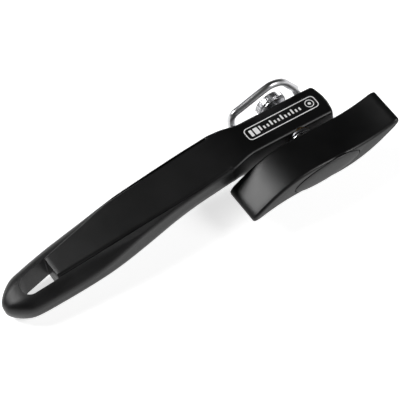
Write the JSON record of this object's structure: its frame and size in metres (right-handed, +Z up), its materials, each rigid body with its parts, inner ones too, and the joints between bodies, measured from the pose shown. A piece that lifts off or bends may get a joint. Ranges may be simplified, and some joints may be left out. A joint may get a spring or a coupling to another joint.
{
  "type": "manual can opener",
  "caption": "Hand-turned side-cut can opener: long moulded handle, winged turning knob, toothed feed wheel, cutting wheel and wire guard.",
  "frame": {"origin": "centre of the bounding box in X and Y, on the surface the opener lies on", "axes": "+X along the handle towards the head's tip, +Y from the turning knob to the wheels, +Z up from the resting surface"},
  "size_m": [0.2222, 0.0558, 0.0422],
  "materials": {
    "soft_black": "soft matte black moulded grip",
    "core_black": "satin black moulded plastic",
    "knob_black": "satin black moulded plastic",
    "bright_steel": "polished steel",
    "plate_steel": "brushed stainless steel",
    "blade_steel": "ground hardened steel",
    "spring_steel": "dark spring steel",
    "bearing_brass": "plain brass bush"
  },
  "bodies": {
    "handle": {"handle_grip": "soft_black", "handle_core": "core_black", "back_plate": "plate_steel", "plate_screw_tip": "bright_steel", "plate_screw_neck": "bright_steel", "plate_screw_upper": "bright_steel", "wire_guard": "bright_steel", "head_liner": "bearing_brass", "cutter_spacer": "bright_steel", "cutter_axle_screw": "bright_steel", "cutter_nut": "bright_steel"},
    "eccentric": {"eccentric_bush": "plate_steel"},
    "spindle": {"drive_spindle": "bright_steel", "feed_wheel": "bright_steel", "feed_spacer": "bright_steel", "feed_screw": "bright_steel", "disc_spring": "spring_steel", "thrust_washer": "bright_steel", "knob_body": "knob_black", "knob_insert": "spring_steel", "knob_screw": "plate_steel", "knob_screw_washer": "plate_steel", "knob_cap": "knob_black"},
    "cutter": {"cutter_wheel": "blade_steel", "cutter_bearing": "bearing_brass"}
  },
  "joints": [
    {"name": "eccentric_turn", "type": "hinge", "parent": "handle", "child": "eccentric", "pos_m": [0.06495, 0.00937, 0.02358], "axis": [0, 1, 0], "range_deg": [0, 140]},
    {"name": "knob_spin", "type": "hinge", "parent": "eccentric", "child": "spindle", "pos_m": [0.06516, 0.00937, 0.0226], "axis": [0, 1, 0], "continuous": true},
    {"name": "cutter_spin", "type": "hinge", "parent": "handle", "child": "cutter", "pos_m": [0.06853, 0.00937, 0.00703], "axis": [0, 1, 0], "continuous": true}
  ]
}
